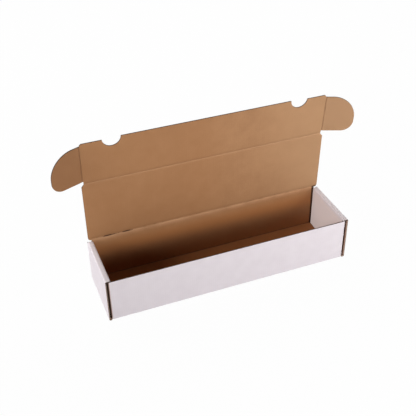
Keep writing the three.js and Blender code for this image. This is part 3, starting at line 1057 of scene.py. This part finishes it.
# %% Cut the front flap
FLAP_CORNER = 3.8 * MM
NOTCH_RADIUS = 13.5 * MM
NOTCH_INSET = 46 * MM
FLAP_STEP = 1.4 * MM
notch_x = ear_axis - NOTCH_INSET
flap_end = ear_axis - crease_edge
flap_edge = flap_line + flap_height
chamfers = [((side * flap_end, flap_edge - FLAP_CORNER, 0), (side, 1, 0))
            for side in BOTH_WAYS]
openings = []
for side in BOTH_WAYS:
    foot, beside, beyond_notch = (on_side(side, start, flap_end + PLAY)
                                  for start in (flap_foot_half, ear_axis - CREASE_REACH, notch_x))
    openings += [(*foot, flap_line, ear_low), (*beside, ear_low, ear_high),
                 (*beyond_notch, flap_edge - FLAP_STEP, flap_edge + PLAY)]
flap_board = board("front_flap_board", -flap_end, flap_end, flap_line + CREASE_REACH,
                   flap_edge, slices=chamfers, openings=openings)
for side in BOTH_WAYS:
    die_cut(flap_board, round_block(side * notch_x, flap_edge, NOTCH_RADIUS))
put_up("front_flap", flap_board, *to_the_flap)

# %% [markdown]
# ## The ears
# An ear is round like a paddle: a large corner towards the flap's free edge, which
# clears the slit when the box is closed, and a smaller one towards its crease.

# %% Cut the ears
OUTER_CORNER_SHARE = 0.78
INNER_CORNER_SHARE = 0.38
ear_round = min(ear_reach, (ear_top - ear_foot) / (OUTER_CORNER_SHARE + INNER_CORNER_SHARE))
ear_end = ear_axis + ear_reach
for word, side in ENDS.items():
    reach = on_side(side, ear_axis + CREASE_REACH, ear_end)
    ear = board(f"ear_board_{word}", *reach, ear_low, ear_high)
    outline = block(*on_side(side, ear_axis, ear_end), ear_low, ear_high)
    round_corner(outline, side * ear_end, ear_high, ear_round * OUTER_CORNER_SHARE, segments=40)
    round_corner(outline, side * ear_end, ear_low, ear_round * INNER_CORNER_SHARE)
    die_cut(ear, outline, keep_inside=True)
    put_up(f"ear_{word}", ear, ear_creases[side], *to_the_flap)

# %% [markdown]
# ## The creases that move
# Along the lid, the flap and the ears the board is pressed into a groove, and the papers
# run on from one panel to the next. Each of these strips is a narrow piece of board whose
# rows of points are squeezed together towards the groove. It is bent once, to the angle
# of its crease: one long side lies with one panel, the other with its neighbour, and the
# rows between follow in part. `SQUEEZE` gives the thickness that is left, by the row's
# share of the way from the groove to the strip's edge. In two places near its left end
# the lid's crease has torn, and only the outer liner still holds, so the inner papers are
# cut out there. `TEARS` lists those cuts: where each starts and ends along the crease, in
# millimetres, and across it, in shares of the same way.

# %% Press and bend the crease strips
SQUEEZE = {0.0: 0.60, 0.14: 0.63, 0.30: 0.76, 0.50: 0.90, 0.75: 0.97, 1.0: 1.0}
SCORE_LEVEL = MIDDLE * 0.7
BEND_REACH = CREASE_REACH * 0.94
ROW_WIDTH = MM / 20


def bend_share(offset):
    passed = min(max((offset / BEND_REACH + 1) / 2, 0), 1)
    return passed * passed * (3 - 2 * passed)


def crease_strip(node, name, area, crease, *creases, tears=()):
    place = crease.lines[0]
    rows = {place + way * share * CREASE_REACH: pressed
            for share, pressed in SQUEEZE.items() for way in BOTH_WAYS}
    across = {"lines_y" if crease.parallel == "X" else "lines_x": sorted(rows)}
    strip = board(name, *area, tears=tears, **across)
    finish_flat(strip)
    with editing(strip):
        for row, pressed in sorted(rows.items()):
            pick_beside(crease, strip, lambda at: abs(at - row) < ROW_WIDTH)
            bpy.ops.transform.resize(value=(1, 1, pressed),
                                     center_override=crease.centre(row, SCORE_LEVEL))
            share = bend_share(crease.side * (row - place))
            if share > 0:
                turn(crease, place, share * crease.angle)
    fold(strip, *creases)
    pieces[node] = strip


# %% Make the four strips
TEARS = [(-168.6, -166.8, 0.30, 0.75), (-166.8, -156.0, 0.0, 1.0),
         (-156.0, -150.0, 0.14, 0.75), (-150.0, -144.0, 0.14, 0.50),
         (-139.0, -137.0, 0.14, 0.75), (-137.0, -127.0, 0.0, 1.0),
         (-127.0, -122.0, 0.14, 0.50)]
tears = [(x0 * MM, x1 * MM, lid_line + low * CREASE_REACH, lid_line + high * CREASE_REACH)
         for x0, x1, low, high in TEARS]


def along_x(half, line):
    return -half, half, line - CREASE_REACH, line + CREASE_REACH


crease_strip("lid_crease", "lid_crease_board", along_x(wall_half, lid_line),
             lid_crease, back_fold, tears=tears)
crease_strip("flap_crease", "flap_crease_board", along_x(flap_foot_half, flap_line),
             flap_crease, *to_the_lid)
for word, side in ENDS.items():
    reach = on_side(side, ear_axis - CREASE_REACH, ear_axis + CREASE_REACH)
    crease_strip(f"ear_crease_{word}", f"ear_crease_board_{word}", (*reach, ear_low, ear_high),
                 ear_creases[side], *to_the_flap)

# %% [markdown]
# ## Smooth papers, sharp cuts
# A paper is smooth round a fold and along its waves, and has a sharp edge where it is
# cut. Smoothing by angle does both.

# %% Smooth each piece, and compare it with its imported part
SMOOTH_UP_TO = math.radians(40)
bpy.data.objects.remove(flute)
for node, piece in pieces.items():
    only(piece)
    bpy.ops.object.shade_smooth_by_angle(angle=SMOOTH_UP_TO)
    spans = list(zip(*(v.co for v in piece.data.vertices)))
    off = [round((outermost(places) - edge) / MM, 2)
           for outermost, corner in zip((min, max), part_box(node))
           for places, edge in zip(spans, corner)]
    print(f"{piece.name}: {len(piece.data.polygons)} faces, against its node {off} mm")

# %% [markdown]
# ## Riding on the bodies
# Each piece except the crease strips is put on the body of the part that it stands for.
# The crease strips are left where they were made, on no body.

# %% Place the pieces on their bodies
members = frame["record"]["behaviour"]["bodies"]
body_of = {node: body for body, names in members.items() for node in names}
bends = {
    "lid_crease": ("tray", "lid", lid_hinge, up, lid_up),
    "flap_crease": ("lid", "flap", flap_hinge, lid_up, flap_up),
    "ear_crease_left": ("flap", "left_ear", left_ear_hinge, -right, -right),
    "ear_crease_right": ("flap", "right_ear", ear_hinge, right, right),
}
for node, piece in pieces.items():
    if node in bends:
        first, second, hinge, before, after = bends[node]
        middle = (before + after).normalized()
        hinge - middle * BEND_REACH
        hinge + middle * BEND_REACH
        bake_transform(piece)
    else:
        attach(piece, body_of[node])
    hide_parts(node)

# %% [markdown]
# ## Floor and light
# The box stands on a pale floor in soft light. A white seamless floor is shown to the
# camera as nearly plain white, and only keeps a trace of the box's shadow. The world is
# just as white to the camera, so the floor's far edge doesn't show from low down, but it
# gives almost no light.

# %% Floor and world
FLOOR_SIZE = 12.0
FLOOR_GREY = 0.70
FLOOR_GLOW = 0.975
SKY_LIGHT = 0.01
PLAIN_WHITE = (1, 1, 1, 1)


def seen_directly(finish):
    """1 for a ray from the camera, from a mirror or through glass."""
    paths = finish.node("ShaderNodeLightPath").socket.node
    return sum(Wire(finish, paths.outputs[name])
               for name in ("Is Camera Ray", "Is Glossy Ray", "Is Transmission Ray"))


def floor_material():
    material = bpy.data.materials.new("studio_floor")
    finish = Finish(material, SHADER)
    finish.shader_feed(base_color=(FLOOR_GREY, FLOOR_GREY, FLOOR_GREY, 1), roughness=0.9)
    paint = Wire(finish, finish.shader.outputs[0])
    glow = finish.node("ShaderNodeEmission", {}, {"Color": PLAIN_WHITE, "Strength": 1.0})
    share = seen_directly(finish) * FLOOR_GLOW
    mixed = finish.node("ShaderNodeMixShader", {}, {0: share, 1: paint, 2: glow})
    finish.feed(finish.tree.nodes["Material Output"].inputs["Surface"], mixed)
    return material


studio_floor = made_with(bpy.ops.mesh.primitive_plane_add, (0, 0, 0), size=FLOOR_SIZE)
studio_floor.name = "studio_floor"
studio_floor.data.materials.append(floor_material())

world = bpy.data.worlds.new("studio")
bpy.context.scene.world = world
sky = Finish(world, "Background")
strength = seen_directly(sky) * (FLOOR_GLOW - SKY_LIGHT) + SKY_LIGHT
sky.shader_feed(color=PLAIN_WHITE, strength=strength)

# %% [markdown]
# In the photograph the light comes from low down: the front wall's shadow falls across
# the floor and up the back wall, and the tops of the rolled ends are darker than the
# faces below them. The left end is the brightest face, and the front gets brighter to
# the right. So there is one wide lamp far to the left, one in front and a small near one
# to the right of it. Three weak lamps behind keep the white outside of the lid readable
# when the box is seen from there. Each lamp is given by its direction from the box, in
# degrees: how far it is turned to the right from the front, and how far it is raised.

# %% Hang the lamps
LAMP_TARGET = Vector((0, 0, 60 * MM))


def lamp(name, turned, raised, away, size, watts):
    data = bpy.data.lights.new(name, "AREA")
    data.shape = "DISK"
    data.size = size
    data.energy = watts
    hung = bpy.data.objects.new(name, data)
    turned, raised = math.radians(turned), math.radians(raised)
    across = math.cos(raised) * away
    place = Vector((math.sin(turned) * across, -math.cos(turned) * across,
                    math.sin(raised) * away))
    hung.location = LAMP_TARGET + place
    hung.rotation_euler = (-place).to_track_quat("-Z", "Y").to_euler()
    bpy.context.scene.collection.objects.link(hung)


lamp("left_lamp", turned=-80, raised=20, away=6.0, size=3.0, watts=246.0)
lamp("front_lamp", turned=0, raised=10, away=2.5, size=1.25, watts=20.4)
lamp("right_lamp", turned=35, raised=10, away=0.9, size=0.45, watts=3.35)
lamp("back_lamp", turned=180, raised=50, away=1.8, size=1.0, watts=9.0)
lamp("back_right_lamp", turned=135, raised=40, away=1.8, size=1.0, watts=8.5)
lamp("back_left_lamp", turned=-135, raised=40, away=1.8, size=1.0, watts=9.0)
